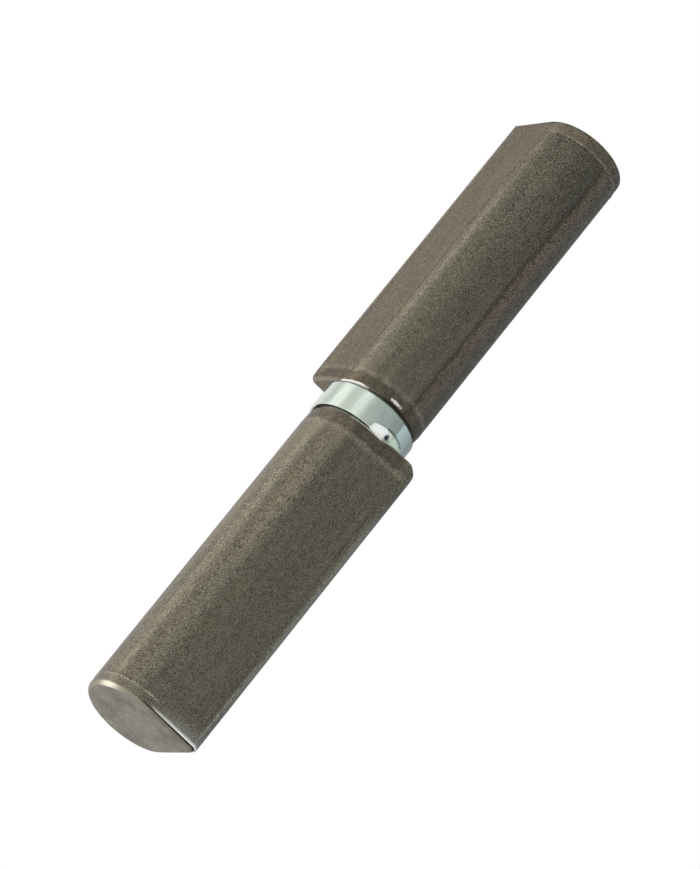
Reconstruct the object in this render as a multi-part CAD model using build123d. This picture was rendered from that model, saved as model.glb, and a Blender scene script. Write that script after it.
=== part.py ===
"""Lift-off weld-on hinge: two drop-section leaves, a pin and a thrust ball bearing.

The pin's axis is Z and the origin lies on it, halfway up the hinge. The lower leaf's fin points
along +X and the upper leaf's fin along -X, so the hinge stands open by half a turn.
"""

import os
from math import acos, atan2, cos, hypot, pi, radians, sin, tan

from build123d import *

# Leaf section
barrel_diameter = 18.0
fin_length = 4.65          # barrel to the fin's narrow edge
fin_edge_width = 1.7

# Leaf length and ends
leaf_length = 66.8
lower_fin_corner_round = 1.9  # side view of the fins, at the bearing end
upper_fin_corner_round = 1.0
leaf_edge_round = 0.6      # bearing end and both edges of the fin
end_pad_height = 0.5       # pad that closes the far end
end_pad_wall = 0.05        # upright part of the pad, below its rounded edge
end_pad_setback = 0.5      # the pad's fin stops short of the leaf's fin

# Pin and bores
pin_diameter = 11.0
pin_in_lower = 36.0
pin_in_upper = 34.0
pin_foot_chamfer = 0.8
pin_tip_length = 2.0
pin_tip_drop = 0.9
running_clearance = 0.05   # radial, pin in the upper leaf
lower_bore_pocket = 1.0    # air below the pressed pin
upper_bore_pocket = 2.0    # air above the pin, so that the balls carry the load
drill_point_angle = 118.0
bore_mouth_chamfer = 0.6

# Thrust bearing
ball_count = 15
ball_side_clearance = 0.2  # least gap from ball to pin and shell
ball_spacing_gap = 0.4     # least gap from ball to ball
ball_sink = 0.45           # how deep a ball lies in each race
groove_clearance = 0.05    # between ball and groove
lower_race_thickness = 2.15  # its rim shows below the shell
upper_race_thickness = 1.75
race_bore_clearance = 0.1  # radial, race round the pin
race_edge_chamfer = 0.2
lower_race_side_gap = 0.15  # race inside the turning shell
upper_race_side_gap = 0.05  # race seated in the shell

# Bearing shell
shell_stand_out = 0.2      # shell beyond the leaves' barrels
shell_wall = 0.8
shell_roof = 0.9
shell_foot_gap = 0.6       # rim above the lower leaf
shell_bore_clearance = 0.2
shell_top_round = 0.35
shell_rim_round = 0.15

# Radii and heights that follow
barrel_radius = barrel_diameter / 2
fin_reach = barrel_radius + fin_length
pin_radius = pin_diameter / 2
shell_radius = barrel_radius + shell_stand_out
shell_inner_radius = shell_radius - shell_wall
ball_pitch_radius = (pin_radius + shell_inner_radius) / 2
ball_radius = min(
    (shell_inner_radius - pin_radius) / 2 - ball_side_clearance,
    (2 * pi * ball_pitch_radius / ball_count - ball_spacing_gap) / 2,
)
race_gap = 2 * (ball_radius - ball_sink)
bearing_height = lower_race_thickness + race_gap + upper_race_thickness + shell_roof
lower_end_z = -bearing_height / 2
upper_end_z = bearing_height / 2
lower_race_top_z = lower_end_z + lower_race_thickness
upper_race_foot_z = lower_race_top_z + race_gap
shell_roof_foot_z = upper_end_z - shell_roof
ball_z = lower_race_top_z + race_gap / 2


def drop_section(radius, reach, edge_width):
    """Drop outline: a circle about the pin's axis, two tangent flats and a narrow edge on +X."""
    half_edge = edge_width / 2
    tangent_angle = acos(radius / hypot(reach, half_edge)) + atan2(half_edge, reach)
    tangent_x = radius * cos(tangent_angle)
    tangent_y = radius * sin(tangent_angle)
    outline = [
        Line((reach, -half_edge), (reach, half_edge)),
        Line((reach, half_edge), (tangent_x, tangent_y)),
        ThreePointArc((tangent_x, tangent_y), (-radius, 0), (tangent_x, -tangent_y)),
        Line((tangent_x, -tangent_y), (reach, -half_edge)),
    ]
    return make_face(outline)


def side_view_block(corner_round):
    """Block with the leaf's side view, the fin's corner rounded at the bearing end."""
    back_x = -2 * barrel_radius
    outline = [
        Line((back_x, 0), (fin_reach - corner_round, 0)),
        RadiusArc((fin_reach - corner_round, 0), (fin_reach, corner_round), -corner_round),
        Line((fin_reach, corner_round), (fin_reach, leaf_length)),
        Line((fin_reach, leaf_length), (back_x, leaf_length)),
        Line((back_x, leaf_length), (back_x, 0)),
    ]
    return extrude(Plane.XZ * make_face(outline), amount=2 * barrel_radius, both=True)


def turned(*points):
    """Solid turned about the pin's axis from a closed outline of (radius, height) points."""
    return revolve(Plane.XZ * make_face(Polyline(*points, close=True)), Axis.Z)


def blind_bore(radius, depth):
    """Drilled hole from height 0 upwards, with a chamfered mouth and a drill point."""
    point_depth = radius / tan(radians(drill_point_angle / 2))
    return turned(
        (0, 0),
        (radius + bore_mouth_chamfer, 0),
        (radius, bore_mouth_chamfer),
        (radius, depth),
        (0, depth + point_depth),
    )


def leaf_rim(body):
    """The bearing end's outer edges, the fin's rounded corner and the fin's two long edges."""
    fin_edges = body.edges().filter_by(Axis.Z).group_by(Axis.X)[-1]
    corner_edges = body.edges().filter_by(GeomType.ELLIPSE)
    end_edges = body.faces().sort_by(Axis.Z)[0].edges()
    end_edges -= end_edges.filter_by(Axis.Y)
    return end_edges + corner_edges + fin_edges


def leaf(bore_radius, bore_depth, corner_round):
    """One forged leaf: bearing end at height 0, far end at leaf_length, fin on +X."""
    pad_foot_z = leaf_length - end_pad_height
    body = extrude(drop_section(barrel_radius, fin_reach, fin_edge_width), amount=pad_foot_z)
    body &= side_view_block(corner_round)
    body = fillet(leaf_rim(body), leaf_edge_round)

    pad_section = drop_section(barrel_radius, fin_reach - end_pad_setback, fin_edge_width)
    pad = extrude(pad_section, amount=end_pad_height)
    pad = fillet(pad.faces().sort_by(Axis.Z)[-1].edges(), end_pad_height - end_pad_wall)
    return body + Pos(0, 0, pad_foot_z) * pad - blind_bore(bore_radius, bore_depth)


def lower_leaf():
    """Far end down, fin on +X, bored for the pressed pin."""
    blank = leaf(pin_radius, pin_in_lower + lower_bore_pocket, lower_fin_corner_round)
    return Pos(0, 0, lower_end_z) * Rot(X=180) * blank


def upper_leaf():
    """Far end up, fin on -X, bored to run on the pin."""
    bore_radius = pin_radius + running_clearance
    blank = leaf(bore_radius, pin_in_upper + upper_bore_pocket, upper_fin_corner_round)
    return Pos(0, 0, upper_end_z) * Rot(Z=180) * blank


def hinge_pin():
    """Pin from the lower bore through the bearing to its tapered tip in the upper bore."""
    foot_z = lower_end_z - pin_in_lower
    tip_z = upper_end_z + pin_in_upper
    return turned(
        (0, foot_z),
        (pin_radius - pin_foot_chamfer, foot_z),
        (pin_radius, foot_z + pin_foot_chamfer),
        (pin_radius, tip_z - pin_tip_length),
        (pin_radius - pin_tip_drop, tip_z),
        (0, tip_z),
    )


def race(outer_radius, foot_z, thickness):
    """Grooved bearing washer with chamfered outer edges."""
    bore_radius = pin_radius + race_bore_clearance
    top_z = foot_z + thickness
    washer = turned(
        (bore_radius, foot_z),
        (outer_radius - race_edge_chamfer, foot_z),
        (outer_radius, foot_z + race_edge_chamfer),
        (outer_radius, top_z - race_edge_chamfer),
        (outer_radius - race_edge_chamfer, top_z),
        (bore_radius, top_z),
    )
    return washer - Pos(0, 0, ball_z) * Torus(ball_pitch_radius, ball_radius + groove_clearance)


def bearing_shell():
    """Drawn cup, open downwards, that seats the upper race and skirts the balls."""
    bore_radius = pin_radius + shell_bore_clearance
    rim_z = lower_end_z + shell_foot_gap
    shell = turned(
        (bore_radius, shell_roof_foot_z),
        (shell_inner_radius, shell_roof_foot_z),
        (shell_inner_radius, rim_z),
        (shell_radius, rim_z),
        (shell_radius, upper_end_z),
        (bore_radius, upper_end_z),
    )
    top_edge = shell.edges().group_by(Axis.Z)[-1].sort_by(SortBy.LENGTH)[-1]
    shell = fillet(top_edge, shell_top_round)
    return fillet(shell.edges().group_by(Axis.Z)[0], shell_rim_round)


def bearing_balls():
    """The full ring of balls, named from the +X side round."""
    balls = {}
    for index in range(ball_count):
        turn = Rot(Z=index * 360 / ball_count)
        balls[f"ball_{index + 1:02d}"] = turn * Pos(ball_pitch_radius, 0, ball_z) * Sphere(ball_radius)
    return balls


nodes = {
    "lower_leaf": lower_leaf(),
    "upper_leaf": upper_leaf(),
    "hinge_pin": hinge_pin(),
    "lower_race": race(shell_inner_radius - lower_race_side_gap, lower_end_z, lower_race_thickness),
    "upper_race": race(shell_inner_radius - upper_race_side_gap, upper_race_foot_z, upper_race_thickness),
    "bearing_shell": bearing_shell(),
    **bearing_balls(),
}

os.makedirs("parts", exist_ok=True)
for name, solid in nodes.items():
    export_step(solid, f"parts/{name}.step")
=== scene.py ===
"""Looks of the lift-off weld-on hinge: forged leaves, plated bearing shell, pin, races and balls.

Lengths are in millimetres until they reach a mesh, a node or the camera, which take metres.
"""

from math import acos, asin, atan2, ceil, cos, degrees, hypot, pi, radians, sin, tan

import bmesh
import bpy
from mathutils import Matrix, Vector


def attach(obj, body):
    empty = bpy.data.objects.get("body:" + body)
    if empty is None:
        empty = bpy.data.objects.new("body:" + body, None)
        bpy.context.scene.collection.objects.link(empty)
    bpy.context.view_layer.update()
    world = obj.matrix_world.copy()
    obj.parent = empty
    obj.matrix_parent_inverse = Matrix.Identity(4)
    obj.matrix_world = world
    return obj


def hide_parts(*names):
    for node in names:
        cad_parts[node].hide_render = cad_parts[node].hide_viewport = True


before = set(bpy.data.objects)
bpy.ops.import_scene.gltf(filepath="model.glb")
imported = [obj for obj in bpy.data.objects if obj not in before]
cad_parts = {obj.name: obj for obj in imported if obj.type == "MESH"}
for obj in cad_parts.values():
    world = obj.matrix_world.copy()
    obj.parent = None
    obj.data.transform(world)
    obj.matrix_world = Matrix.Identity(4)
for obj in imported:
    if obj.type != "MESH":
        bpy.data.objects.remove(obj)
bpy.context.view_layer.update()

mm = 0.001

# Sizes shared with the part's source
barrel_radius = 9.0
fin_reach = 13.65
fin_edge_width = 1.7
leaf_length = 66.8
end_pad_setback = 0.5
bearing_half_height = 3.2
lower_bore_depth = 37.0
upper_bore_depth = 36.0
upper_bore_radius = 5.55
drill_point_angle = 118.0
bore_mouth_chamfer = 0.6
pin_radius = 5.5
pin_foot_z = -39.2
pin_foot_chamfer = 0.8
pin_tip_z = 37.2
pin_tip_length = 2.0
pin_tip_drop = 0.9
shell_top_round = 0.35
shell_rim_round = 0.15
shell_radius = 9.2
shell_inner_radius = 8.4
shell_rim_z = -2.6
shell_roof_foot_z = 2.3
shell_bore_radius = 5.7
race_bore_radius = 5.6
race_edge_chamfer = 0.2
lower_race_radius = 8.25
lower_race_top_z = -1.05
upper_race_radius = 8.35
upper_race_foot_z = 0.55
ball_count = 15
ball_radius = 1.25
ball_pitch_radius = 6.95
ball_z = -0.25
groove_radius = 1.3

# Sizes of the looks alone
cap_crown = 0.08           # the far end's middle above its rim
lean_length = 9.0          # how far up the leaf the bearing end's lean reaches
seat_radius = 8.36         # hollow in the leaf's end that takes the ring
scuff_glint_height = 1.3
shell_inner_round = 0.1
shell_bore_round = 0.12
shell_side_inset = 0.01    # these three keep the looks inside the solids
shell_top_inset = 0.02
pin_inset = 0.005
pin_foot_round = 0.15
pin_shoulder_round = 0.6
pin_tip_round = 0.3
race_bore_round = 0.08
race_rim_round = 0.06
groove_steps = 16
trim_turn = 2.57           # in radians from the fin: where the flash was trimmed
back_turns = (2.60, 2.70)  # and where the browner back begins and is full
ball_subdivisions = 5
sharp_angle = 40.0         # corners above it are shaded as corners


# Node wiring

class Num:
    """A socket inside a node tree, which takes plain arithmetic where it holds a number."""

    def __init__(self, wiring, socket):
        self.wiring = wiring
        self.socket = socket

    def __add__(self, other):
        return self.wiring.math("ADD", self, other)

    def __sub__(self, other):
        return self.wiring.math("SUBTRACT", self, other)

    def __mul__(self, other):
        return self.wiring.math("MULTIPLY", self, other)

    def __truediv__(self, other):
        return self.wiring.math("DIVIDE", self, other)

    def __pow__(self, other):
        return self.wiring.math("POWER", self, other)

    def __rsub__(self, other):
        return self.wiring.math("SUBTRACT", other, self)

    def __rtruediv__(self, other):
        return self.wiring.math("DIVIDE", other, self)

    __radd__ = __add__
    __rmul__ = __mul__


class Wiring:
    """Adds nodes to one tree and joins their sockets."""

    def __init__(self, tree):
        self.tree = tree

    def add(self, kind, feeds=None, **settings):
        node = self.tree.nodes.new(kind)
        for name, value in settings.items():
            setattr(node, name, value)
        for name, value in (feeds or {}).items():
            self.feed(node.inputs[name], value)
        return node

    def feed(self, socket, value):
        if isinstance(value, Num):
            value = value.socket
        if isinstance(value, bpy.types.NodeSocket):
            self.tree.links.new(value, socket)
        else:
            socket.default_value = value

    def math(self, operation, *values):
        node = self.add("ShaderNodeMath", operation=operation)
        for socket, value in zip(node.inputs, values):
            self.feed(socket, value)
        return Num(self, node.outputs[0])

    def largest(self, first, *others):
        for other in others:
            first = self.math("MAXIMUM", first, other)
        return first

    def ramp(self, value, low, high, to_low=0.0, to_high=1.0, smooth=True):
        """value carried from low..high to to_low..to_high, held at both ends."""
        feeds = {"Value": value, "From Min": low, "From Max": high, "To Min": to_low, "To Max": to_high}
        kind = "SMOOTHSTEP" if smooth else "LINEAR"
        return Num(self, self.add("ShaderNodeMapRange", feeds, interpolation_type=kind).outputs[0])

    def bump_at(self, value, middle, width):
        """A soft bell, 1 where value is at middle."""
        offset = (value - middle) / width
        return self.math("EXPONENT", offset * offset * -1.0)

    def noise(self, place, scale, detail=2.0, roughness=0.5, seed=None):
        """Cloudy noise round 0.5; a seed moves it along a fourth axis."""
        feeds = {"Vector": place, "Scale": scale, "Detail": detail, "Roughness": roughness}
        node = self.add("ShaderNodeTexNoise", feeds, noise_dimensions="3D" if seed is None else "4D")
        if seed is not None:
            self.feed(node.inputs["W"], seed)
        return Num(self, node.outputs[0])

    def mix(self, share, first, second):
        """A blend of two colours."""
        node = self.add("ShaderNodeMix", {"Factor": share}, data_type="RGBA", clamp_factor=True)
        for socket, colour in ((node.inputs[6], first), (node.inputs[7], second)):
            self.feed(socket, colour if isinstance(colour, bpy.types.NodeSocket) else (*colour, 1.0))
        return node.outputs[2]

    def shape(self, kind, mesh, feeds=None, **settings):
        """One step on a mesh; gives the mesh that comes out."""
        return self.add(kind, {"Geometry": mesh, **(feeds or {})}, **settings).outputs[0]


GEOMETRY = "NodeSocketGeometry"
MATERIAL = "NodeSocketMaterial"
NUMBER = "NodeSocketFloat"
SOCKET_OF = {float: NUMBER, int: "NodeSocketInt", tuple: "NodeSocketVector"}


def new_group(name, kind, inputs, outputs):
    """A node group from its inputs' defaults and its outputs: (group, wiring, inputs, output node)."""
    tree = bpy.data.node_groups.new(name, kind)
    for label, value in inputs.items():
        socket_type = value if isinstance(value, str) else SOCKET_OF[type(value)]
        item = tree.interface.new_socket(label, in_out="INPUT", socket_type=socket_type)
        if not isinstance(value, str):
            item.default_value = value
    for label, socket_type in outputs.items():
        tree.interface.new_socket(label, in_out="OUTPUT", socket_type=socket_type)
    wiring = Wiring(tree)
    source = wiring.add("NodeGroupInput")
    sockets = {item.name: Num(wiring, item) for item in source.outputs if item.name}
    return tree, wiring, sockets, wiring.add("NodeGroupOutput")


def shape_group(name, inputs):
    """A Geometry Nodes group that makes a piece from a line of rows."""
    inputs = {"Rows": GEOMETRY, **inputs, "Material": MATERIAL}
    return new_group(name, "GeometryNodeTree", inputs, {"Mesh": GEOMETRY})


def row_sheet(w, at):
    """A sheet with one line of points per row: the sheet, its column numbers and a reader of row marks."""
    size = w.add("GeometryNodeAttributeDomainSize", {"Geometry": at["Rows"]}, component="MESH")
    row_count = Num(w, size.outputs["Point Count"])
    sheet = w.add("GeometryNodeMeshGrid", {"Vertices X": at["Around"] + 1.0, "Vertices Y": row_count})
    index = Num(w, w.add("GeometryNodeInputIndex").outputs[0])
    column = w.math("FLOOR", (index + 0.5) / row_count)
    row = w.math("ROUND", index - column * row_count)

    def read(name):
        stored = w.add("GeometryNodeInputNamedAttribute", {"Name": name}, data_type="FLOAT")
        feeds = {"Value": stored.outputs["Attribute"], "Index": row}
        settings = {"data_type": "FLOAT", "domain": "POINT"}
        return Num(w, w.shape("GeometryNodeSampleIndex", at["Rows"], feeds, **settings))

    return sheet.outputs["Mesh"], column, read


def ring_position(w, radius, turn, height):
    spot = {"X": radius * w.math("COSINE", turn), "Y": radius * w.math("SINE", turn), "Z": height}
    return w.add("ShaderNodeCombineXYZ", spot).outputs[0]


def close_piece(w, mesh, marks, position, at, sink):
    """Keeps the marks for the finish, shapes the sheet, joins its seams and sets the piece in place."""
    settings = {"data_type": "FLOAT", "domain": "POINT"}
    for name, value in marks.items():
        mesh = w.shape("GeometryNodeStoreNamedAttribute", mesh, {"Name": name, "Value": value}, **settings)
    mesh = w.shape("GeometryNodeSetPosition", mesh, {"Position": position})
    mesh = w.shape("GeometryNodeMergeByDistance", mesh, {"Distance": 1e-7})
    if "Move" in at:
        mesh = w.shape("GeometryNodeTransform", mesh, {"Translation": at["Move"], "Rotation": at["Turn"]})
    hand_over(w, mesh, at, sink)


def hand_over(w, mesh, at, sink):
    """Ends a tree: real geometry, smooth faces and the material."""
    mesh = w.shape("GeometryNodeRealizeInstances", mesh)
    mesh = w.shape("GeometryNodeSetShadeSmooth", mesh)
    w.feed(sink.inputs["Mesh"], w.shape("GeometryNodeSetMaterial", mesh, {"Material": at["Material"]}))


# Leaves: the lower leaf's values, and those that differ on the upper leaf

def flat_turn_of(reach):
    """Turn from the fin to where the flat leaves the barrel."""
    half = fin_edge_width / 2
    return acos(barrel_radius / hypot(reach, half)) + atan2(half, reach)


lower_leaf = {
    "Around": 600,
    "Crowding": 1.5,
    "Barrel radius": barrel_radius * mm,
    "Fin reach": fin_reach * mm,
    "Flat turn": flat_turn_of(fin_reach),
    "Pad flat turn": flat_turn_of(fin_reach - end_pad_setback),
    "Pad setback": end_pad_setback * mm,
    "Fin edge softness": 0.35 * mm,
    "Fin corner round": 1.9 * mm,
    "Bearing edge round": 0.4 * mm,
    "End shift": -0.40 * mm,
    "End tilt": -0.03,
    "Fin end shift": -0.45 * mm,
    "Fin end start": 7.5 * mm,
    "Fin end full": 9.6 * mm,
    "Seat limit": -0.46 * mm,
    "Far round on flats": 0.62 * mm,
    "Far round on barrel": 0.85 * mm,
    "Shoulder drop": 0.2 * mm,
    "Shoulder length": 2.7 * mm,
    "Witness height": 0.06 * mm,
    "Witness place": 64.3 * mm,
    "Witness step": 0.04 * mm,
    "Witness light": 1.35,
    "Crease depth": 0.02 * mm,
    "Crease sheen": 0.0,
    "Hammer depth": 0.03 * mm,
    "Skin": 0.065 * mm,
    # Painted highlights and shade on the edges: the abraded arc of the bearing end, where its painted shade
    # starts, the scuffed arc, the lip and the far edge
    "Rubbed glint from": radians(38),
    "Rubbed glint to": radians(82),
    "Shade turn": radians(140),
    "Scuff glint turn": 2.26,
    "Scuff glint": 0.0,
    "Lip shine": 1.0,
    "Far edge shine": 1.0,
    # Painted light and shade: flats, barrel and far end made darker or lighter, and bands round the barrel
    "Flat tone": 0.77,
    "Flat fall": 0.0,
    "Barrel tone": 1.0,
    "Far tone": 1.0,
    "Band light": 1.0,
    "Warmth": 0.0,
    "Seed": 3.0,
    "Turn": (pi, 0.0, 0.0),
    "Move": (0.0, 0.0, -bearing_half_height * mm),
}
upper_leaf_changes = {
    "Fin corner round": 0.9 * mm,
    "Bearing edge round": 0.65 * mm,
    "End shift": 0.15 * mm,
    "End tilt": 0.0,
    "Fin end shift": 0.95 * mm,
    "Fin end start": 4.0 * mm,
    "Fin end full": 11.5 * mm,
    "Seat limit": 0.0,
    "Far round on barrel": 0.6 * mm,
    "Shoulder drop": 0.3 * mm,
    "Witness place": 64.0 * mm,
    "Witness light": 0.8,
    "Crease depth": 0.06 * mm,
    "Crease sheen": 0.27,
    "Rubbed glint from": radians(46),
    "Rubbed glint to": radians(90),
    "Shade turn": radians(114),
    "Scuff glint": 1.0,
    "Lip shine": 0.0,
    "Far edge shine": 0.0,
    # Painted light and shade on the upper leaf: flats falling off along it, a darker barrel, darkest at the
    # far end, no bands
    "Flat tone": 0.83,
    "Flat fall": 0.15,
    "Barrel tone": 0.88,
    "Far tone": 0.60,
    "Band light": 0.0,
    "Warmth": 1.0,
    "Seed": 8.0,
    "Turn": (0.0, 0.0, pi),
    "Move": (0.0, 0.0, bearing_half_height * mm),
}
# Painted light and shade in bands round the lower leaf's barrel
tone_bands = ((110, 8, 0.32), (95, 6, -0.20), (66, 5, -0.16), (52, 3, 0.12))  # degrees, width, light


def leaf_tree():
    """A forged leaf: a drop section swept along the pin's axis, closed at one end, bored from the other."""
    tree, w, at, sink = shape_group("drop_section_leaf", lower_leaf)
    sheet, column, read = row_sheet(w, at)
    barrel = at["Barrel radius"]

    # Turn about the pin's axis in radians, 0 on the fin and about 0.9 where the flats end, with more
    # columns near the fin
    share = column / at["Around"] * 2.0 - 1.0
    swing = w.math("ABSOLUTE", share) ** at["Crowding"] * pi
    turn = w.math("SIGN", share) * swing
    on_flat = w.ramp(swing, 0.95, 0.6)
    by_flat = w.ramp(swing, 1.28, 0.98)
    far_change = at["Far round on flats"] - at["Far round on barrel"]
    far_round = at["Far round on barrel"] + w.ramp(swing, 1.9, 0.8) * far_change
    edge_round = at["Bearing edge round"]
    inset = read("edge_in") * edge_round + read("round_in") * far_round + read("lip_in") * by_flat
    level = read("height") + read("edge_up") * edge_round
    level = level - read("round_up") * far_round - read("lip_up") * by_flat

    # The bearing end as forged: the barrel's end leans a little and the fin's end lies off it
    past_flat = w.math("COSINE", w.largest(at["Flat turn"] - swing, 0.0))
    past_land = w.math("COSINE", w.math("MINIMUM", swing, 1.3))
    plain = w.math("MINIMUM", barrel / past_flat, at["Fin reach"] / past_land)
    forward = plain * w.math("COSINE", swing)
    fin_share = w.ramp(forward, at["Fin end start"], at["Fin end full"])
    end_shift = at["End shift"] + at["End tilt"] * forward + at["Fin end shift"] * fin_share
    seat_shift = w.largest(end_shift, at["Seat limit"])
    height = level + read("near") * end_shift + read("seat") * seat_shift

    # Draft to the shoulder, hammer marks, the witness ridge near the far end, the crease by the flat
    draft = (at["Shoulder length"] - level) / at["Shoulder length"] * at["Shoulder drop"]
    shoulder = w.math("SMOOTH_MAX", draft, 0.0, 0.05 * mm)
    spot = ring_position(w, barrel, turn, height)
    dents = w.noise(spot, 130.0, 1.0, seed=at["Seed"]) * at["Hammer depth"]
    ridge = w.bump_at(level, at["Witness place"], 0.16 * mm) * at["Witness height"] * (1.0 - on_flat)
    gripped = w.ramp(level, at["Witness place"], at["Witness place"] + 0.2 * mm) * (1.0 - on_flat)
    witness = ridge - gripped * at["Witness step"]
    crease_turn = at["Flat turn"] + 0.055
    crease = w.bump_at(swing, crease_turn, 0.02) * at["Crease depth"] * read("body")
    radius = barrel - at["Skin"] - inset - shoulder - dents + witness - crease

    # Flats tangent to the barrel, cut off by the fin's narrow edge
    pad = read("pad")
    flat_turn = at["Flat turn"] + pad * (at["Pad flat turn"] - at["Flat turn"])
    on_flats = radius / w.math("COSINE", w.largest(flat_turn - swing, 0.0))
    corner_round = at["Fin corner round"]
    rise = corner_round - w.math("MINIMUM", w.largest(level, 0.0), corner_round)
    arc = w.math("SQRT", w.largest(corner_round ** 2.0 - rise * rise, 0.0))
    corner = corner_round - arc
    reach = at["Fin reach"] - at["Skin"] * 0.2 - pad * at["Pad setback"] - corner - read("land") * inset
    drop = w.math("SMOOTH_MIN", on_flats, reach / past_land, at["Fin edge softness"])
    drawn = w.math("MINIMUM", drop * read("scale"), read("within"))
    final = drawn + read("bore") * (read("bore_radius") - drawn)

    # Painted light and shade along and round the leaf: tones by flat, barrel and length, bands, a sheen by
    # the crease
    along = level / (leaf_length * mm)
    barrel_tone = at["Barrel tone"] + (at["Far tone"] - at["Barrel tone"]) * along
    flat_tone = at["Flat tone"] * (1.0 - at["Flat fall"] * along)
    plain_tone = flat_tone + w.ramp(swing, 0.96, 1.5) * (barrel_tone - flat_tone)
    bands = w.ramp(swing, radians(118), radians(126)) * 0.13
    for angle, width, light in tone_bands:
        bands = bands + w.bump_at(swing, radians(angle), radians(width)) * light
    sheen = w.bump_at(swing, crease_turn + 0.16, 0.12)

    # Abrasion with painted highlights on the edges and the lip, a painted sheen beside the lip, and painted
    # shade at the bearing end
    end_edge = read("end_edge")
    rubbed_glint_on = w.ramp(swing, at["Rubbed glint from"] - 0.2, at["Rubbed glint from"] + 0.2)
    rubbed_glint_off = w.ramp(swing, at["Rubbed glint to"] + 0.2, at["Rubbed glint to"] - 0.2)
    lip_reach = w.ramp(level, (leaf_length - 4.5) * mm, (leaf_length - 1.2) * mm)
    lip_sheen = lip_reach * w.ramp(swing, 0.98, 0.85) * w.ramp(swing, 0.85, 0.1, 0.2, 1.0)
    lip = read("lip") * w.ramp(swing, 0.98, 0.75) * w.ramp(swing, 0.9, 0.15, 0.5, 1.0)
    behind = w.ramp(swing, at["Shade turn"] - 0.2, at["Shade turn"] + 0.2)
    end_shade = w.largest(read("end_foot"), end_edge * behind)
    marks = {
        "turn": swing,
        "level": level,
        "past_witness": level - at["Witness place"],
        "witness_light": at["Witness light"],
        "side": read("side"),
        # painted light and shade on the plain colour
        "tone": plain_tone * (1.0 + bands * at["Band light"] + sheen * at["Crease sheen"]),
        "warmth": at["Warmth"],
        # a painted highlight on the lip and a painted sheen beside it
        "lip": lip * at["Lip shine"],
        "lip_sheen": lip_sheen * at["Lip shine"],
        # painted shade at the foot of the pad
        "crevice": read("crevice") * w.ramp(swing, 1.26, 1.0) * w.ramp(swing, 0.03, 0.12, 0.4, 1.0),
        # place and strength of the painted shade, highlight and sheen by the crease
        "past_crease": (swing - crease_turn) * barrel,
        "creased": read("body") * at["Crease sheen"],
        # painted light on the front of the bearing end's rounded edge
        "bevel": end_edge * w.ramp(swing, at["Shade turn"] - 0.1, at["Shade turn"] - 0.5),
        # abrasion on the bearing end's edge, with a painted highlight on it
        "rubbed_and_glint": end_edge * rubbed_glint_on * rubbed_glint_off,
        "scuff": read("scuff") * w.bump_at(turn, at["Scuff glint turn"], 0.17) * at["Scuff glint"],
        # painted shade in the gap between the leaf's end and the ring, and on the back of its rounded edge
        "painted_shade": end_shade * w.ramp(swing, 0.45, 0.9),
        # painted light and a painted glint on the far end's rounded edge
        "far_edge": read("far_edge") * (1.0 - on_flat * 0.4) * at["Far edge shine"],
        "cap": read("cap"),
    }
    close_piece(w, sheet, marks, ring_position(w, final, turn, height), at, sink)
    return tree


def turned_tree():
    """A piece turned about the pin's axis from a profile of rows."""
    tree, w, at, sink = shape_group("turned_piece", {"Around": 192})
    sheet, column, read = row_sheet(w, at)
    turn = column / at["Around"] * (2.0 * pi)
    position = ring_position(w, read("radius"), turn, read("height"))
    close_piece(w, sheet, {"edge": read("edge")}, position, at, sink)
    return tree


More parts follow.
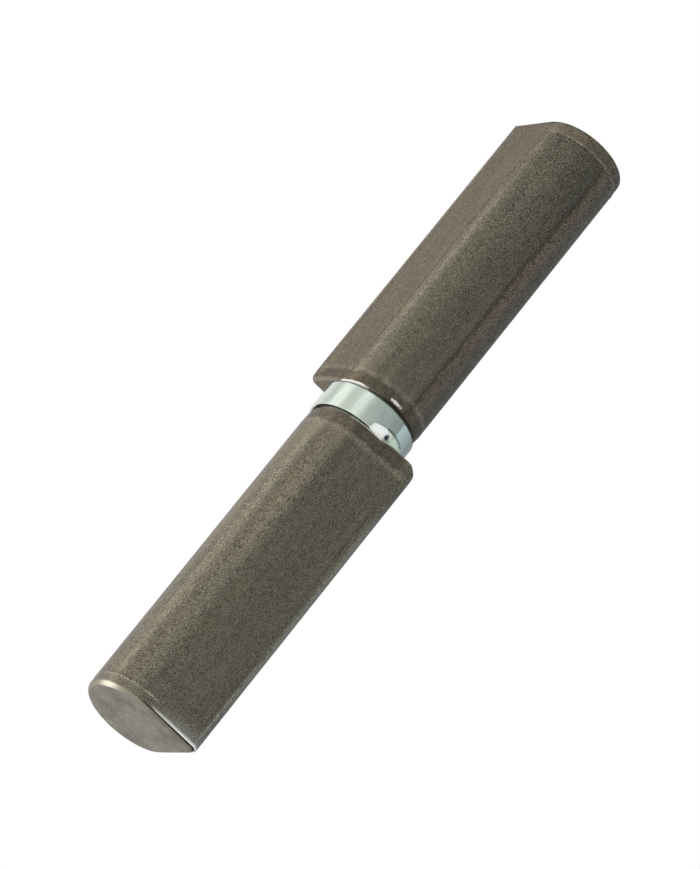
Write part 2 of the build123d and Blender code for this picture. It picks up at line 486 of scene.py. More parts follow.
def shell_tree():
    """The drawn bearing cup, with the crimp and the punch mark that were pressed into its skirt."""
    tree, w, at, sink = shape_group("crimped_cup", {
        "Around": 360,
        "Outer radius": shell_radius * mm,
        "Wall": (shell_radius - shell_inner_radius) * mm,
        "Rim height": shell_rim_z * mm,
        "Top height": bearing_half_height * mm,
        "Crimp turn": radians(-26),
        "Crimp half width": radians(36),
        "Crimp depth": 0.55 * mm,
        "Crimp run": 1.5 * mm,
        "Crimp top": -0.2 * mm,
        "Crimp sag": 1.5 * mm,
        "Punch turn": radians(-33),
        "Punch height": -1.46 * mm,
        "Punch radius": 0.58 * mm,
        "Punch depth": 0.15 * mm,
    })
    sheet, column, read = row_sheet(w, at)
    turn = column / at["Around"] * (2.0 * pi) - pi
    radius = read("radius")
    height = read("height")
    outer = at["Outer radius"]
    wall = at["Wall"]
    outside = w.ramp(radius, outer - wall * 0.8, outer - wall * 0.3)

    # The crimp lies below an arched line on the outer skirt and fades out to both sides
    across = (turn - at["Crimp turn"]) / at["Crimp half width"]
    line = at["Crimp top"] - at["Crimp sag"] * across * across
    within = w.ramp(w.math("ABSOLUTE", across), 1.0, 0.75)
    crimp = w.ramp(line - height, 0.0, 0.25 * mm) * within * outside
    taper = w.ramp(line - height, 0.0, at["Crimp run"], smooth=False) * within * outside
    side = (turn - at["Punch turn"]) * outer
    rise = height - at["Punch height"]
    off_punch = w.math("SQRT", side * side + rise * rise)
    punch = w.ramp(off_punch, at["Punch radius"] * 1.25, at["Punch radius"] * 0.6) * outside
    pressed = radius - taper * at["Crimp depth"] - punch * at["Punch depth"]

    # Painted shade under the rim, most of it at the back, and below the top edge
    under_rim = w.ramp(height, at["Rim height"] + 0.12 * mm, at["Rim height"] + 0.02 * mm)
    inside = w.ramp(radius, outer - wall * 0.3, outer - wall * 0.55)
    toward_back = w.ramp(w.math("ABSOLUTE", turn), radians(112), radians(138), 0.5, 1.0)
    top_shade = w.bump_at(height, at["Top height"] - 0.26 * mm, 0.17 * mm) * outside
    # painted shade along the crimp's upper line
    crimp_edge_shade = w.bump_at(height, line, 0.15 * mm) * w.ramp(w.math("ABSOLUTE", across - 0.05), 0.5, 0.38)
    # For the finish: a tint on the crimp, a painted highlight on one end of it, painted shade along its line,
    # in the punch mark, under the rim and below the top edge
    marks = {
        "crimp": crimp,
        "crimp_edge_shade": crimp_edge_shade * outside,
        "punch": punch,
        "crimp_highlight": crimp * w.ramp(across, -0.2, -0.4),
        "painted_shade": w.largest(under_rim * inside * toward_back, top_shade),
    }
    close_piece(w, sheet, marks, ring_position(w, pressed, turn, height), at, sink)
    return tree


def ball_tree():
    """The ring of balls: one ball repeated round the pin's axis."""
    tree, w, at, sink = shape_group("ball_ring", {
        "Ball count": ball_count,
        "Pitch radius": ball_pitch_radius * mm,
        "Ball radius": ball_radius * mm,
        "Height": ball_z * mm,
    })
    ring = w.add("GeometryNodeMeshCircle", {"Vertices": at["Ball count"], "Radius": at["Pitch radius"]})
    lift = w.add("ShaderNodeCombineXYZ", {"Z": at["Height"]})
    raised = w.shape("GeometryNodeTransform", ring.outputs[0], {"Translation": lift.outputs[0]})
    sizes = {"Radius": at["Ball radius"], "Subdivisions": ball_subdivisions}
    ball = w.add("GeometryNodeMeshIcoSphere", sizes)
    balls = w.add("GeometryNodeInstanceOnPoints", {"Points": raised, "Instance": ball.outputs[0]})
    hand_over(w, balls.outputs[0], at, sink)
    return tree


def add_object(name, data):
    thing = bpy.data.objects.new(name, data)
    bpy.context.scene.collection.objects.link(thing)
    return thing


def make_piece(name, tree, rows, values):
    """Runs a tree on a line of rows and keeps the result as a plain mesh at the origin."""
    base = bpy.data.meshes.new(name + "_rows")
    base.from_pydata([(0, 0, 0)] * len(rows), [], [])
    labels = sorted({label for row in rows for label in row})
    for label in labels:
        stored = base.attributes.new(label, "FLOAT", "POINT")
        stored.data.foreach_set("value", [row.get(label, 0.0) for row in rows])
    piece = add_object(name, base)
    modifier = piece.modifiers.new("shape", "NODES")
    modifier.node_group = tree
    identifiers = {item.name: item.identifier for item in tree.interface.items_tree if item.in_out == "INPUT"}
    for label, value in values.items():
        modifier[identifiers[label]] = value
    bpy.context.view_layer.update()
    shaped = piece.evaluated_get(bpy.context.evaluated_depsgraph_get())
    mesh = bpy.data.meshes.new_from_object(shaped)
    piece.modifiers.remove(modifier)
    piece.data = mesh
    mesh.name = name
    bpy.data.meshes.remove(base)
    face_out(mesh)
    return piece


def face_out(mesh):
    """Turns all faces outwards and keeps true corners crisp."""
    bm = bmesh.new()
    bm.from_mesh(mesh)
    bmesh.ops.recalc_face_normals(bm, faces=bm.faces)
    bm.to_mesh(mesh)
    bm.free()
    mesh.set_sharp_from_angle(angle=radians(sharp_angle))


# Rows of the leaves

def steps(first, last, count):
    return [first + (last - first) * i / count for i in range(count + 1)]


def fade(height):
    """How far a row follows the bearing end's lean."""
    return max(0.0, 1 - height / lean_length)


def leaf_rows(bore_radius, bore_depth):
    """Rows from the middle of the far end, down the outside, over the bearing end and up the bore."""
    rows = []

    def row(height, **marks):
        for label in ("lip_in", "lip_up", "bore_radius", "within"):
            if label in marks:
                marks[label] *= mm
        rows.append({"height": height * mm, "scale": 1.0, "land": 1.0, "within": 1.0, **marks})

    for scale in (0.0, 0.12, 0.25, 0.4, 0.55, 0.7, 0.82, 0.91, 0.97):
        row(leaf_length - cap_crown * scale ** 2, round_in=1.0, pad=1.0, scale=scale, cap=1.0)
    # The far end's rounded edge, which the finish paints with light and a glint; the crevice marks are
    # painted shade
    for angle in steps(90, 0, 10):
        tilt = radians(angle)
        row(
            leaf_length - cap_crown, round_in=1 - cos(tilt), round_up=1 - sin(tilt), pad=1.0,
            cap=sin(tilt) ** 2, far_edge=min(1.0, 1.4 * sin(2 * tilt)), crevice=max(0.0, 1 - angle / 36),
        )

    # Foot of the pad, a fine crevice that the finish paints as shade, and the lip of the leaf, painted as a
    # highlight
    foot = leaf_length - cap_crown - 0.05
    row(foot, round_up=1.0, pad=1.0, lip_up=0.04, crevice=1.0)
    row(foot - 0.01, round_up=1.0, pad=0.95, lip_in=0.14, lip_up=0.20, crevice=1.0)
    row(foot - 0.02, round_up=1.0, pad=0.65, lip_in=0.14, lip_up=0.20, crevice=1.0)
    skin = {"round_up": 1.0, "side": 1.0}
    row(foot - 0.03, pad=0.25, lip_in=0.08, lip_up=0.05, crevice=0.4, **skin)
    row(foot - 0.04, pad=0.08, lip_in=0.04, lip_up=-0.02, lip=0.8, **skin)
    row(foot - 0.06, lip_in=0.015, lip_up=0.02, lip=1.0, **skin)
    row(foot - 0.10, lip_up=0.10, lip=1.0, **skin)
    row(foot - 0.16, lip_up=0.20, lip=0.8, **skin)
    row(foot - 0.30, lip_up=0.26, lip=0.25, body=0.3, **skin)
    row(foot - 0.50, lip_up=0.26, body=0.5, **skin)

    # The witness ridge, the length of the leaf, the shoulder and the rounded edge of the bearing end
    for height in (64.9, 64.6, 64.4, 64.25, 64.12, 64.0, 63.88, 63.75, 63.6, 63.4, 63.0):
        row(height, body=1.0, side=1.0)
    for height in steps(62.0, 5.0, 38):
        row(height, body=1.0, near=fade(height), side=1.0)
    for height in (
        4.6, 4.2, 3.8, 3.5, 3.25, 3.05, 2.9, 2.78, 2.66, 2.54, 2.4, 2.2, 1.95, 1.7, 1.45, 1.2, 1.0, 0.85,
    ):
        # the lowest rows are abraded and also take a painted highlight
        scuff = 1.0 if height < scuff_glint_height else 0.0
        row(height, land=0.0, body=min(1.0, height / 3.0), near=fade(height), side=1.0, scuff=scuff)
    # the bearing end's rounded edge takes abrasion, painted light in front and painted shade behind
    for angle in steps(0, 90, 12):
        tilt = radians(angle)
        row(
            0.0, edge_up=1 - sin(tilt), edge_in=1 - cos(tilt), land=0.0, near=1.0, side=cos(tilt),
            end_edge=min(1.0, 1.5 * sin(2 * tilt)), end_foot=max(0.0, sin(tilt) - 0.94) / 0.06,
        )

    # Shelf of the fin, rim and seat inside it, then the bore
    shared = {"edge_in": 1.0, "land": 0.0, "end_foot": 1.0}
    row(0.0, scale=0.998, within=9.5, near=1.0, **shared)
    row(0.0, scale=0.994, within=9.4, seat=1.0, **shared)
    row(0.0, scale=0.985, within=8.45, seat=1.0, **shared)
    row(0.0, scale=0.975, within=seat_radius, **shared)
    mouth = bore_radius + bore_mouth_chamfer
    for share in (0.25, 0.5, 0.75):
        row(0.0, scale=0.975, within=seat_radius, bore=share, bore_radius=mouth, **shared)
    for depth in (0.0, 0.3, 0.6):
        row(depth, land=0.0, bore=1.0, bore_radius=mouth - depth)
    for depth in steps(1.0, bore_depth, 8):
        row(depth, land=0.0, bore=1.0, bore_radius=bore_radius)
    point_depth = bore_radius / tan(radians(drill_point_angle / 2))
    for share in (0.8, 0.5, 0.2, 0.0):
        row(bore_depth + point_depth * (1 - share), land=0.0, bore=1.0, bore_radius=bore_radius * share)
    return rows


# Profiles of the turned pieces

def rounded_profile(corners, closed, most_turn=12.0):
    """Rows along a line of (radius, height, round) corners, each corner rounded by an arc."""
    rows = []
    count = len(corners)

    def put(point, edge=0.0):
        rows.append({"radius": point[0] * mm, "height": point[1] * mm, "edge": edge})

    for i, (radius, height, bend) in enumerate(corners):
        here = Vector((radius, height))
        if not bend or (not closed and i in (0, count - 1)):
            put(here)
            continue
        before = (Vector(corners[i - 1][:2]) - here).normalized()
        after = (Vector(corners[(i + 1) % count][:2]) - here).normalized()
        half = before.angle(after) / 2
        middle = here + (before + after).normalized() * (bend / sin(half))
        start = here + before * (bend / tan(half)) - middle
        sweep = pi - 2 * half
        side = 1 if start.x * (here - middle).y - start.y * (here - middle).x > 0 else -1
        arcs = max(2, ceil(degrees(sweep) / most_turn))
        for k in range(arcs + 1):
            angle = side * sweep * k / arcs
            spoke = Vector((
                start.x * cos(angle) - start.y * sin(angle), start.x * sin(angle) + start.y * cos(angle)
            ))
            put(middle + spoke, sin(pi * k / arcs))
    if closed:
        rows.append(dict(rows[0]))
    return rows


def spread_rows(rows, longest):
    """Adds rows on long straight stretches, so that shading and wear follow the surface."""
    spread = [rows[0]]
    for first, last in zip(rows, rows[1:]):
        run = hypot(last["radius"] - first["radius"], last["height"] - first["height"])
        parts = max(1, ceil(run / (longest * mm)))
        for k in range(1, parts + 1):
            spread.append({label: first[label] + (last[label] - first[label]) * k / parts for label in first})
    return spread


def shell_rows():
    outer = shell_radius - shell_side_inset
    top = bearing_half_height - shell_top_inset
    corners = [
        (shell_inner_radius, shell_roof_foot_z, shell_inner_round),
        (shell_inner_radius, shell_rim_z, shell_rim_round),
        (outer, shell_rim_z, shell_rim_round),
        (outer, top, shell_top_round),
        (shell_bore_radius, top, shell_bore_round),
        (shell_bore_radius, shell_roof_foot_z, shell_bore_round),
    ]
    return spread_rows(rounded_profile(corners, closed=True), longest=0.2)


def pin_rows():
    radius = pin_radius - pin_inset
    corners = [
        (0.0, pin_foot_z, 0),
        (pin_radius - pin_foot_chamfer, pin_foot_z, pin_foot_round),
        (radius, pin_foot_z + pin_foot_chamfer, pin_foot_round),
        (radius, pin_tip_z - pin_tip_length, pin_shoulder_round),
        (pin_radius - pin_tip_drop, pin_tip_z, pin_tip_round),
        (0.0, pin_tip_z, 0),
    ]
    return spread_rows(rounded_profile(corners, closed=False), longest=4.0)


def race_rows(outer_radius, foot_z, top_z, groove_up):
    """A washer with a ball groove on its top or underside."""
    reach = (top_z if groove_up else foot_z) - ball_z
    face_radius = outer_radius - race_edge_chamfer
    outline = [
        (race_bore_radius, foot_z, race_bore_round),
        (face_radius, foot_z, race_rim_round),
        (outer_radius, foot_z + race_edge_chamfer, race_rim_round),
        (outer_radius, top_z - race_edge_chamfer, race_rim_round),
        (face_radius, top_z, race_rim_round),
        (race_bore_radius, top_z, race_bore_round),
    ]
    first = abs(asin(reach / groove_radius))
    side = 1 if reach > 0 else -1
    groove = []
    for angle in steps(first, pi - first, groove_steps):
        radius = ball_pitch_radius + groove_radius * cos(angle)
        groove.append((radius, ball_z + side * groove_radius * sin(angle), 0))
    if groove_up:
        outline[5:5] = groove
    else:
        outline[1:1] = groove[::-1]
    return spread_rows(rounded_profile(outline, closed=True), longest=0.4)


# Shader groups shared by the metals

def speckle_group():
    """Fine grain of a metal surface: a speckle and a slow cloud."""
    inputs = {"Vector": (0.0, 0.0, 0.0), "Grain size": 0.2 * mm, "Cloud size": 5 * mm}
    outputs = {"Speckle": NUMBER, "Cloud": NUMBER}
    tree, w, at, sink = new_group("metal_speckle", "ShaderNodeTree", inputs, outputs)
    fine = w.noise(at["Vector"], 1.0 / at["Grain size"], 2.0, 0.6)
    slow = w.noise(at["Vector"], 1.0 / at["Cloud size"], 3.0, 0.55)
    w.feed(sink.inputs["Speckle"], w.ramp(fine, 0.34, 0.66, smooth=False))
    w.feed(sink.inputs["Cloud"], w.ramp(slow, 0.3, 0.7, smooth=False))
    return tree


def streak_group():
    """Fine lines drawn along the pin's axis, or round it where Squeeze is turned over."""
    inputs = {"Vector": (0.0, 0.0, 0.0), "Squeeze": (1.0, 1.0, 0.05), "Line size": 0.15 * mm}
    tree, w, at, sink = new_group("drawn_streaks", "ShaderNodeTree", inputs, {"Streaks": NUMBER})
    stretched = w.add("ShaderNodeVectorMath", {0: at["Vector"], 1: at["Squeeze"]}, operation="MULTIPLY")
    lines = w.noise(stretched.outputs[0], 1.0 / at["Line size"])
    w.feed(sink.inputs["Streaks"], w.ramp(lines, 0.3, 0.7, smooth=False))
    return tree


def patchy_group():
    """A mask broken up by grain, so that abraded edges, painted highlights and painted shade aren't even."""
    inputs = {"Mask": 0.0, "Vector": (0.0, 0.0, 0.0), "Patch size": 1.5 * mm, "Breakup": 0.6}
    tree, w, at, sink = new_group("patchy_mask", "ShaderNodeTree", inputs, {"Patchy mask": NUMBER})
    patches = w.noise(at["Vector"], 1.0 / at["Patch size"], 3.0, 0.6)
    mask = at["Mask"]
    kept = mask - (1.0 - mask) * 0.2 - at["Breakup"] * w.ramp(patches, 0.35, 0.65)
    w.feed(sink.inputs["Patchy mask"], w.ramp(kept, 0.0, 0.45))
    return tree


metal_speckle = speckle_group()
drawn_streaks = streak_group()
patchy_mask = patchy_group()


class Finish:
    """One material: its wiring, its object coordinates, its shader and its base colour so far."""

    def __init__(self, name):
        self.material = bpy.data.materials.new(name)
        self.material.use_nodes = True
        self.wiring = Wiring(self.material.node_tree)
        self.shader = self.material.node_tree.nodes["Principled BSDF"]
        self.place = self.wiring.add("ShaderNodeTexCoord").outputs["Object"]
        self.colour = None

    def group(self, tree, feeds):
        node = self.wiring.add("ShaderNodeGroup", {"Vector": self.place, **feeds}, node_tree=tree)
        return [Num(self.wiring, item) for item in node.outputs]

    def speckle(self, grain_size, cloud_size):
        return self.group(metal_speckle, {"Grain size": grain_size * mm, "Cloud size": cloud_size * mm})

    def streaks(self, squeeze, line_size):
        return self.group(drawn_streaks, {"Squeeze": squeeze, "Line size": line_size * mm})[0]

    def patchy(self, name, patch_size, breakup):
        feeds = {"Mask": self.mark(name), "Patch size": patch_size * mm, "Breakup": breakup}
        return self.group(patchy_mask, feeds)[0]

    def mark(self, name):
        """A value that the piece's tree stored."""
        node = self.wiring.add("ShaderNodeAttribute", attribute_name=name)
        return Num(self.wiring, node.outputs["Fac"])

    def coat(self, share, colour):
        """Lays a colour over the base colour."""
        self.colour = self.wiring.mix(share, self.colour, colour)

    def shade(self, value):
        """Makes the base colour lighter or darker."""
        feeds = {0: self.colour, "Scale": value}
        self.colour = self.wiring.add("ShaderNodeVectorMath", feeds, operation="SCALE").outputs[0]

    def bump(self, height, depth):
        feeds = {"Height": height, "Distance": depth * mm, "Strength": 0.5}
        node = self.wiring.add("ShaderNodeBump", feeds)
        self.wiring.feed(self.shader.inputs["Normal"], node.outputs[0])

    def close(self, metallic, roughness):
        feeds = {"Base Color": self.colour, "Metallic": metallic, "Roughness": roughness}
        for label, value in feeds.items():
            self.wiring.feed(self.shader.inputs[label], value)
        return self.material


def forged_steel():
    """Bare forged steel: grey-brown skin, fine speckle, a land painted bright as a highlight, brown bands
    where it was trimmed, painted light and shade on top.
    """
    f = Finish("forged_steel")
    w = f.wiring
    away = f.mark("turn")
    level = f.mark("level")
    cap = f.mark("cap")
    side = f.mark("side")
    warm = f.mark("warmth")
    grain, cloud = f.speckle(0.21, 6)
    mottle, drift = f.speckle(1.3, 14)
    long = f.streaks((1.0, 1.0, 0.05), 1.8)
    barrel = w.ramp(away, 0.85, 1.25)
    uneven = mottle - 0.5

    # Skin of the flats and the barrel, by warmth
    flats = w.mix(warm, (0.178, 0.163, 0.122), (0.194, 0.158, 0.103))
    round_skin = w.mix(warm, (0.180, 0.162, 0.124), (0.172, 0.158, 0.122))
    f.colour = w.mix(barrel, flats, round_skin)
    f.coat(w.ramp(long, 0.55, 0.95) * 0.5 * barrel, (0.235, 0.190, 0.122))
    f.coat(w.ramp(long, 0.45, 0.05) * 0.4 * barrel, (0.150, 0.145, 0.122))
    f.coat(cloud * 0.3, (0.225, 0.195, 0.142))
    f.coat(drift * 0.25, (0.165, 0.158, 0.125))
    # Painted light and shade: darker flats, the upper leaf darker towards its far end, bands round the
    # barrel, a sheen by the crease
    f.shade(f.mark("tone"))

    # Brown bands: beside the back where the flash was trimmed, and on the shoulder by the bearing
    wander = away + uneven * 0.05 + (drift - 0.5) * 0.10
    trim = w.bump_at(wander, trim_turn, 0.05)
    back = w.ramp(wander, *back_turns)
    f.coat(back * 0.85, w.mix(w.ramp(away, 2.74, 2.95), (0.166, 0.121, 0.086), (0.126, 0.104, 0.076)))
    f.coat(trim * 0.7, (0.078, 0.052, 0.037))
    band_edge = level + uneven * (0.6 * mm)
    shoulder = w.ramp(band_edge, 3.0 * mm, 2.4 * mm) * side
    f.coat(shoulder * (0.2 + mottle * 0.65), (0.080, 0.062, 0.044))
    # a painted highlight along the shoulder's upper edge
    f.coat(w.bump_at(band_edge, 3.3 * mm, 0.4 * mm) * side * 0.45, (0.29, 0.26, 0.20))

    # A painted highlight along the ridge where the barrel was gripped near its far end, a darker line just
    # short of it, and smoother skin beyond it
    past_witness = f.mark("past_witness") + uneven * (0.12 * mm)
    beyond = w.ramp(past_witness, 0.0, 0.3 * mm) * barrel * (1.0 - back) * side
    smoother = w.mix(warm, (0.205, 0.192, 0.152), (0.205, 0.162, 0.113))
    rim = w.ramp(past_witness, 1.0 * mm, 2.4 * mm) * warm
    f.coat(beyond * (0.25 + warm * mottle * 0.15 + rim * 0.4), smoother)
    witness = w.bump_at(past_witness, 0.0, 0.20 * mm) * w.ramp(away, 0.75, 1.0) * side
    f.coat(witness * f.mark("witness_light") * (0.6 + mottle * 0.2), (0.31, 0.286, 0.22))
    before = w.bump_at(past_witness, -0.45 * mm, 0.25 * mm) * barrel * side
    f.coat(before * 0.3, (0.085, 0.075, 0.058))

    # A fold beside the flat: painted shade in it, a painted highlight along it, a painted sheen a little
    # further and painted shade further round
    past_crease = f.mark("past_crease") + (drift - 0.5) * (0.15 * mm)
    creased = f.mark("creased") * w.ramp(level, 64 * mm, 46 * mm, 0.25, 1.0) * 3.2
    f.coat(w.bump_at(past_crease, 0.0, 0.13 * mm) * creased, (0.088, 0.074, 0.052))
    f.coat(w.bump_at(past_crease, 0.34 * mm, 0.16 * mm) * creased * 0.6, (0.29, 0.255, 0.185))
    by_fold = w.bump_at(past_crease, 1.8 * mm, 1.2 * mm) * w.ramp(level, 56 * mm, 38 * mm)
    further = w.ramp(away, 1.35, 1.6) * w.ramp(away, 2.3, 2.0) * w.ramp(level, 48 * mm, 18 * mm)
    f.shade(1.0 + (by_fold * 0.27 - further * 0.15) * warm * side)

    # Land on the fin's narrow edge painted paler as a highlight, a painted highlight on its arris, paler
    # patches by the corner, a painted sheen beside the lip, and a broken dark lap beside the land
    land = w.ramp(away, radians(6.0), radians(2.6)) * w.ramp(level, 3 * mm, 17 * mm) * side
    f.coat(land * w.ramp(level, 64 * mm, 46 * mm, 0.25, 0.8), (0.31, 0.292, 0.235))
    arris = w.bump_at(away, radians(4.0), radians(0.6)) * w.ramp(level, 42 * mm, 60 * mm) * side
    f.coat(arris * (0.35 + mottle * 0.4), (0.40, 0.385, 0.34))
    corner = w.ramp(away, radians(15), radians(9)) * w.ramp(level, 4.4 * mm, 2.6 * mm) * side
    f.coat(corner * mottle * 0.5, (0.30, 0.272, 0.205))
    f.coat(f.mark("lip_sheen") * side * 0.55, (0.33, 0.32, 0.30))
    lap = w.bump_at(away, radians(7.6), radians(0.9)) * w.bump_at(level, 19 * mm, 8 * mm)
    f.coat(lap * mottle * side, (0.05, 0.045, 0.035))

    # The struck face of the far end
    stain, stain_cloud = f.speckle(2.2, 4.5)
    struck = w.mix(stain_cloud, (0.140, 0.116, 0.086), (0.262, 0.245, 0.197))
    f.coat(cap, w.mix(w.ramp(stain, 0.6, 1.0) * 0.5, struck, (0.175, 0.136, 0.110)))

    # Grain: weaker near the bearing and beyond the pale line, growing along the upper barrel
    near_end = w.ramp(level, 12 * mm, 2 * mm)
    depth = 0.62 + warm * 0.19 + barrel * (0.12 - warm * 0.09 - near_end * 0.3) + back * 0.28
    growth = warm * barrel * w.ramp(level, 8 * mm, 60 * mm, -0.25, 0.08, smooth=False)
    depth = depth * (1.0 + growth) * (1.0 - cap * 0.45) * (1.0 - beyond * 0.35)
    f.shade(1.0 + (grain - 0.5) * 2.0 * depth + uneven * 0.16 + (long - 0.5) * 0.20 * side)

    # Edges: abrasion and painted highlights on them and the lip, a browner far edge, painted shade in the
    # crevice and gap
    far_edge = f.mark("far_edge")
    f.coat((f.mark("bevel") + far_edge) * 0.5, (0.33, 0.30, 0.235))
    f.coat(far_edge * w.ramp(away, 1.0, 0.7) * 0.6, (0.150, 0.118, 0.080))
    lip = f.mark("lip")
    worn_and_glint = w.largest(f.patchy("rubbed_and_glint", 1.2, 0.35), f.patchy("scuff", 0.6, 0.5))
    wear_and_glint = w.largest(worn_and_glint, lip, far_edge * w.bump_at(away, 1.94, 0.23))
    f.coat(wear_and_glint, w.mix(far_edge, (0.88, 0.84, 0.79), (0.90, 0.83, 0.66)))
    f.coat(w.largest(f.mark("crevice"), f.mark("painted_shade") * (1.0 - wear_and_glint)), (0.022, 0.020, 0.017))
    f.bump(grain + mottle * 0.6, 0.03)
    metallic = 0.85 + wear_and_glint * 0.15 - lip * 0.4 - worn_and_glint * 0.45
    return f.close(metallic, 0.42 - wear_and_glint * 0.14 + grain * 0.08 - land * 0.06)


def zinc_plate():
    """Bright zinc with a faint green cast and fine lines round the shell, a painted highlight on the crimp
    and painted shade along it, in the punch mark and in the gaps.
    """
    f = Finish("zinc_plate")
    w = f.wiring
    grain, cloud = f.speckle(0.12, 2.5)
    lines = f.streaks((0.08, 0.08, 1.0), 0.25)
    smears = f.streaks((1.0, 1.0, 0.25), 1.1)
    crimp_highlight = f.patchy("crimp_highlight", 0.8, 0.3)
    painted_shade = f.patchy("painted_shade", 1.0, 0.25)
    f.colour = w.mix(cloud, (0.55, 0.635, 0.575), (0.60, 0.68, 0.625))
    f.coat(w.ramp(smears, 0.6, 1.0) * 0.5, (0.60, 0.64, 0.49))
    f.coat(w.ramp(smears, 0.4, 0.0) * 0.5, (0.47, 0.55, 0.54))
    f.coat(f.mark("crimp") * 0.7, (0.66, 0.70, 0.52))
    # Painted highlight on one end of the crimp, painted shade along its upper line, in the punch mark and in
    # the gaps under the rim and below the top edge
    f.coat(crimp_highlight, (1.0, 1.0, 0.985))
    f.coat(f.mark("crimp_edge_shade"), (0.09, 0.10, 0.09))
    f.coat(f.mark("punch"), (0.045, 0.05, 0.08))
    f.coat(painted_shade * 0.9, (0.05, 0.048, 0.042))
    f.shade(0.965 + lines * 0.03)
    f.bump(lines * 0.5 + grain * 0.3, 0.002)
    return f.close(1.0 - crimp_highlight * 0.85, 0.08 + smears * 0.08 + lines * 0.02 + painted_shade * 0.2 + crimp_highlight * 0.06)


def ground_steel():
    """Ground pin steel with fine rings and an oil-dark cloud."""
    f = Finish("ground_steel")
    lines = f.streaks((0.05, 0.05, 1.0), 0.12)
    cloud = f.speckle(0.15, 7)[1]
    f.colour = f.wiring.mix(cloud, (0.40, 0.385, 0.36), (0.50, 0.485, 0.46))
    f.shade(0.85 + lines * 0.25)
    f.bump(lines, 0.003)
    return f.close(1.0, 0.20 + lines * 0.08 + cloud * 0.06)


def race_steel():
    """Hardened and ground washers, pale and half metallic, paler on their edges: painted light that keeps the
    rim bright under the ring, on the edges also abrasion.
    """
    f = Finish("race_steel")
    lines = f.streaks((0.08, 0.08, 1.0), 0.1)
    grain, cloud = f.speckle(0.12, 3)
    wear_and_glint = f.patchy("edge", 0.8, 0.4)
    f.colour = f.wiring.mix(cloud, (0.58, 0.565, 0.53), (0.68, 0.665, 0.63))
    f.coat(wear_and_glint, (0.78, 0.765, 0.73))
    f.shade(0.9 + grain * 0.2)
    f.bump(lines, 0.002)
    return f.close(0.45, 0.26 + lines * 0.08 - wear_and_glint * 0.08)


def ball_steel():
    """Polished bearing balls with a thin oil haze."""
    f = Finish("ball_steel")
    grain, cloud = f.speckle(0.1, 1.5)
    f.colour = f.wiring.mix(cloud, (0.52, 0.51, 0.50), (0.62, 0.61, 0.60))
    f.shade(0.95 + grain * 0.1)
    return f.close(1.0, 0.06 + cloud * 0.06)


finishes = {
    maker.__name__: maker() for maker in (forged_steel, zinc_plate, ground_steel, race_steel, ball_steel)
}


# Pieces

def place_piece(name, tree, rows, body, slot, nodes, values=None):
    """Makes a piece, rides it on its body and lets it stand for the solids of these nodes."""
    piece = make_piece(name, tree, rows, {**(values or {}), "Material": finishes[slot]})
    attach(piece, body)
    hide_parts(*nodes)


leaves = leaf_tree()
lower_rows = leaf_rows(pin_radius, lower_bore_depth)
upper_rows = leaf_rows(upper_bore_radius, upper_bore_depth)
place_piece("lower_leaf_forging", leaves, lower_rows, "lower", "forged_steel", ["lower_leaf"])
place_piece(
    "upper_leaf_forging", leaves, upper_rows, "upper", "forged_steel", ["upper_leaf"], upper_leaf_changes
)

turned = turned_tree()
lower_washer = race_rows(lower_race_radius, -bearing_half_height, lower_race_top_z, True)
upper_washer = race_rows(upper_race_radius, upper_race_foot_z, shell_roof_foot_z, False)
place_piece("pin_shaft", turned, pin_rows(), "lower", "ground_steel", ["hinge_pin"])
place_piece("lower_race_washer", turned, lower_washer, "lower", "race_steel", ["lower_race"])
place_piece("upper_race_washer", turned, upper_washer, "bearing_top", "race_steel", ["upper_race"])
place_piece("bearing_shell_cup", shell_tree(), shell_rows(), "bearing_top", "zinc_plate", ["bearing_shell"])

ball_names = [f"ball_{i + 1:02d}" for i in range(ball_count)]
place_piece("bearing_balls", ball_tree(), [{"height": 0.0}], "ball_train", "ball_steel", ball_names)


# Camera, at the photograph's viewing angle

camera_right = Vector((0.81646, 0.10227, 0.56827))
camera_up = Vector((-0.41992, -0.57034, 0.70597))
camera_forward = Vector((-0.39630, 0.81502, 0.42271))
camera_place = Vector((452.819, -933.248, -485.758)) * mm

camera_data = bpy.data.cameras.new("camera")
camera_data.sensor_width = 36.0
camera_data.lens = 270.1
camera_data.clip_start = 0.01
camera_data.clip_end = 20.0
camera = add_object("camera", camera_data)
camera.matrix_world = Matrix((
    (camera_right.x, camera_up.x, -camera_forward.x, camera_place.x),
    (camera_right.y, camera_up.y, -camera_forward.y, camera_place.y),
    (camera_right.z, camera_up.z, -camera_forward.z, camera_place.z),
    (0, 0, 0, 1),
))
bpy.context.scene.camera = camera


# Studio, in metres and degrees

floor_half_size = 0.45
floor_z = -70.1 * mm
floor_fade = (0.06, 0.40)  # distances where the floor starts to thin out and where it ends
tent_radius = 0.45
tent_half_height = 0.75
tent_sides = 96
tent_level = 0.40          # brightness between the panels
tent_seam = 9.0            # where the falling-off cards of the right half meet
tent_panels = (
    (-154, 42, 20, 0.50),  # middle, half width, soft sides, brightness: soft box on the left
    (-152, 14, 8, 0.52),   # strip light in it
    (-97, 11, 9, 0.42),    # strip in front
    (146, 22, 12, 0.58),   # pale card behind
)
white = (1.0, 1.0, 1.0, 1.0)


def seen_white(w):
    """1 for the rays that see the plain white background."""
    path = w.add("ShaderNodeLightPath")
    names = ("Is Camera Ray", "Is Glossy Ray", "Is Transmission Ray")
    return w.largest(*(Num(w, path.outputs[name]) for name in names))


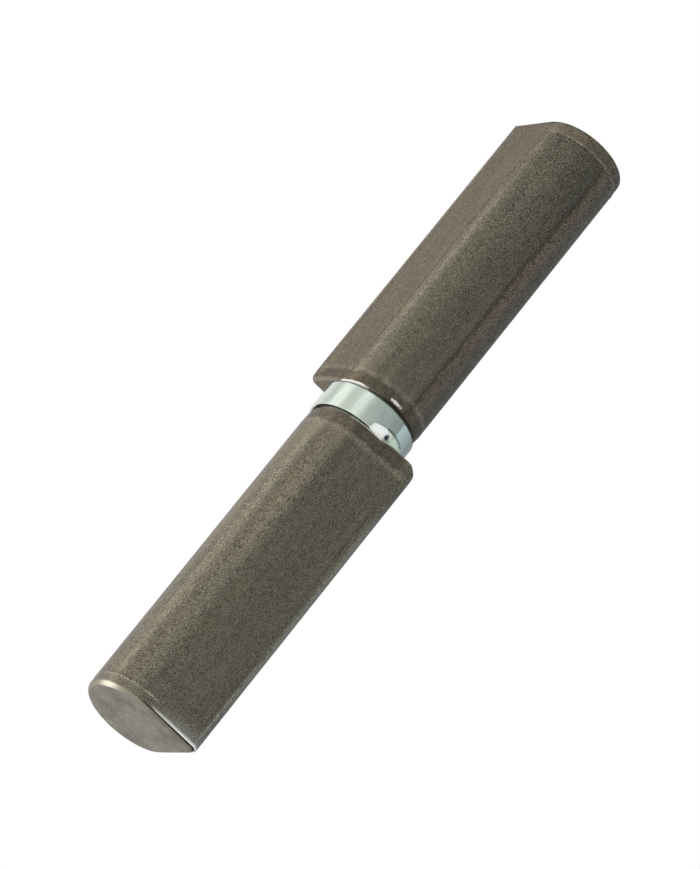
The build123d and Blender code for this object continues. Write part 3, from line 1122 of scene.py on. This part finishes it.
def make_world():
    world = bpy.data.worlds.new("studio")
    bpy.context.scene.world = world
    world.use_nodes = True
    world.node_tree.nodes.clear()
    w = Wiring(world.node_tree)
    plain = w.add("ShaderNodeBackground", {"Color": white, "Strength": 1.0})
    dim = w.add("ShaderNodeBackground", {"Color": (0.95, 0.97, 1.0, 1.0), "Strength": 0.6})
    mix = w.add("ShaderNodeMixShader", {0: seen_white(w), 1: dim.outputs[0], 2: plain.outputs[0]})
    w.add("ShaderNodeOutputWorld", {"Surface": mix.outputs[0]})


def make_floor():
    """A pale floor under the hinge, which thins out to the white background and is clear from below."""
    bm = bmesh.new()
    bmesh.ops.create_grid(bm, x_segments=8, y_segments=8, size=floor_half_size)
    bmesh.ops.translate(bm, verts=bm.verts, vec=(0, 0, floor_z))
    mesh = bpy.data.meshes.new("floor")
    bm.to_mesh(mesh)
    bm.free()
    floor = add_object("floor", mesh)

    # It takes the hinge's shadow and leaves the light on the hinge alone
    floor.visible_diffuse = False
    floor.visible_glossy = False
    floor.visible_shadow = False

    f = Finish("pale_floor")
    w = f.wiring
    pale = w.ramp(w.noise(f.place, 3.0), 0.3, 0.7, 0.86, 0.90)
    f.colour = w.add("ShaderNodeCombineXYZ", {"X": pale, "Y": pale, "Z": pale}).outputs[0]
    f.shader.inputs["Specular IOR Level"].default_value = 0.0
    mesh.materials.append(f.close(0.0, 0.9))
    glow = w.add("ShaderNodeEmission", {"Color": white, "Strength": 1.0})
    lit = w.add("ShaderNodeMixShader", {0: seen_white(w) * 0.5, 1: f.shader.outputs[0], 2: glow.outputs[0]})
    parts = w.add("ShaderNodeSeparateXYZ", {0: f.place})
    across = Num(w, parts.outputs["X"])
    along = Num(w, parts.outputs["Y"])
    far = w.ramp(w.math("SQRT", across * across + along * along), *floor_fade)
    below = Num(w, w.add("ShaderNodeNewGeometry").outputs["Backfacing"])
    clear = w.add("ShaderNodeBsdfTransparent")
    mix = w.add("ShaderNodeMixShader", {0: w.largest(far, below), 1: lit.outputs[0], 2: clear.outputs[0]})
    w.feed(w.tree.nodes["Material Output"].inputs["Surface"], mix.outputs[0])


def make_light_tent():
    """A round light tent: soft boxes left and in front, grey cards on the right, a pale card behind."""
    points = []
    faces = []
    for i in range(tent_sides):
        turn = 2 * pi * i / tent_sides
        for z in (-tent_half_height, tent_half_height):
            points.append((tent_radius * cos(turn), tent_radius * sin(turn), z))
        j = (i + 1) % tent_sides
        faces.append((2 * i, 2 * i + 1, 2 * j + 1, 2 * j))
    mesh = bpy.data.meshes.new("light_wrap")
    mesh.from_pydata(points, [], faces)
    tent = add_object("light_wrap", mesh)
    tent.visible_camera = False
    tent.visible_shadow = False

    material = bpy.data.materials.new("light_wrap")
    material.use_nodes = True
    material.node_tree.nodes.clear()
    mesh.materials.append(material)
    w = Wiring(material.node_tree)
    place = w.add("ShaderNodeTexCoord").outputs["Object"]
    parts = w.add("ShaderNodeSeparateXYZ", {0: place})
    turn = w.math("ARCTAN2", Num(w, parts.outputs["Y"]), Num(w, parts.outputs["X"])) * (180 / pi)
    past_seam = w.math("GREATER_THAN", turn, tent_seam)

    # Panels with soft sides, and a right half that falls off to its dark side from both ends
    level = w.ramp(turn, tent_seam, 66.0, 0.46, 0.0, smooth=False) * past_seam + tent_level
    falling = w.ramp(turn, -100.0, tent_seam, 0.37, 0.0, smooth=False)
    level = level + w.ramp(turn, -130.0, -100.0) * falling
    for middle, half_width, soft, light in tent_panels:
        off = w.math("ABSOLUTE", w.math("WRAP", turn - middle, 180.0, -180.0))
        level = level + w.ramp(off, half_width + soft, half_width - soft, 0.0, light)

    # Bright paper low down all round
    low_share = w.ramp(Num(w, parts.outputs["Z"]), 0.0, -0.14)
    level = level + low_share * 0.75 * w.largest(1.25 - level, 0.0)

    # Warm on the left, cooler to the right, blue behind on the right
    colour = w.mix(w.ramp(turn, -120.0, 0.0), (1.0, 0.985, 0.95), (0.94, 1.0, 1.0))
    colour = w.mix(past_seam * w.ramp(turn, 120.0, 80.0), colour, (0.86, 0.95, 1.06))
    colour = w.mix(w.ramp(turn, 105.0, 130.0), colour, (1.0, 0.965, 0.99))
    glow = w.add("ShaderNodeEmission", {"Color": colour, "Strength": level})
    w.add("ShaderNodeOutputMaterial", {"Surface": glow.outputs[0]})


make_world()
make_floor()
make_light_tent()

bpy.context.scene.view_settings.view_transform = "Standard"
